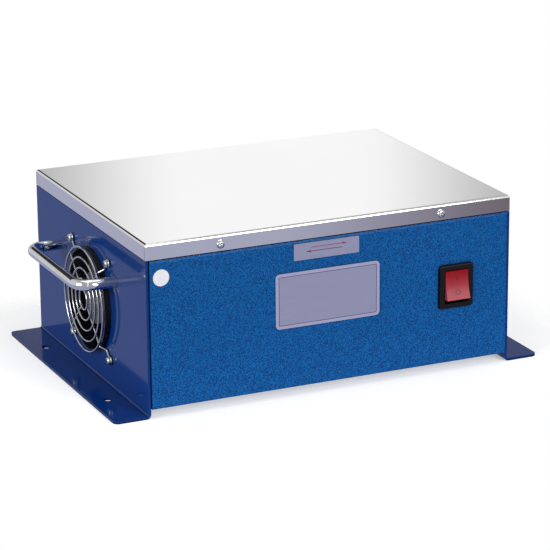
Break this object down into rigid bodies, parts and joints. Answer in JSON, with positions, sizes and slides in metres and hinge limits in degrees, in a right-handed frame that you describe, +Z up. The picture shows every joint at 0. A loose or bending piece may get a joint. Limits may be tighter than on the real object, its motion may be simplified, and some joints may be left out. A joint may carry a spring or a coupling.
{
  "type": "plate demagnetiser",
  "caption": "Bench plate demagnetiser: polished top plate on a blue sheet-steel box with bolt-down feet, carrying handles, a guarded side fan and a lit rocker switch.",
  "frame": {"origin": "middle of the foot holes, on the surface that the feet stand on", "axes": "+X to the right along the front, +Y to the back, +Z up"},
  "size_m": [0.342, 0.2432, 0.125],
  "materials": {
    "enamel_blue": "smooth glossy enamel",
    "hammertone_blue": "hammertone enamel",
    "polished_stainless": "polished",
    "chrome": "bright chrome",
    "plated_steel": "bright zinc",
    "black_plastic": "glossy moulded",
    "red_plastic": "translucent red",
    "core_steel": "varnished laminations",
    "copper": "enamelled copper wire",
    "bronze": "sintered bronze and brass",
    "dark_plastic": "moulded",
    "pale_plastic": "moulded",
    "satin_plate": "satin",
    "white_label": "printed film",
    "lead_insulation": "insulated wire"
  },
  "bodies": {
    "case": {"base_bolts": "plated_steel", "base_nuts": "plated_steel", "base_plate": "plated_steel", "cable_gland": "dark_plastic", "coil_leads": "lead_insulation", "cover_nuts": "plated_steel", "cover_screws": "plated_steel", "direction_plate": "satin_plate", "earth_nuts": "bronze", "earth_stud": "bronze", "fan_bearing": "bronze", "fan_frame": "black_plastic", "fan_guard": "chrome", "fan_leads": "lead_insulation", "fan_nuts": "plated_steel", "fan_screws": "plated_steel", "fan_stator": "core_steel", "fan_washers": "plated_steel", "front_core_clamp": "plated_steel", "front_panel": "hammertone_blue", "gland_cap": "dark_plastic", "gland_locknut": "dark_plastic", "handle_screws": "plated_steel", "handle_washers": "plated_steel", "left_bobbin": "dark_plastic", "left_coil": "copper", "left_handle": "chrome", "left_side_panel": "enamel_blue", "magnet_core": "core_steel", "name_plate": "satin_plate", "panel_nuts": "plated_steel", "panel_studs": "plated_steel", "rear_core_clamp": "plated_steel", "rear_panel": "hammertone_blue", "right_bobbin": "dark_plastic", "right_coil": "copper", "right_handle": "chrome", "right_side_panel": "enamel_blue", "round_label": "white_label", "switch_housing": "black_plastic", "switch_leads": "lead_insulation", "switch_terminals": "bronze", "terminal_block": "pale_plastic", "terminal_screws": "plated_steel", "thermal_cutout": "dark_plastic", "top_cover": "polished_stainless", "yoke_bolts": "plated_steel", "yoke_nuts": "plated_steel"},
    "fan_rotor": {"fan_impeller": "black_plastic", "fan_shaft": "plated_steel"},
    "rocker": {"switch_rocker": "red_plastic"}
  },
  "joints": [
    {"name": "fan_spin", "type": "hinge", "parent": "case", "child": "fan_rotor", "pos_m": [-0.125, -0.0025, 0.0569], "axis": [1, 0, 0], "continuous": true},
    {"name": "switch_rock", "type": "hinge", "parent": "case", "child": "rocker", "pos_m": [0.0958, -0.106, 0.0643], "axis": [1, 0, 0], "range_deg": [0, 20]}
  ]
}
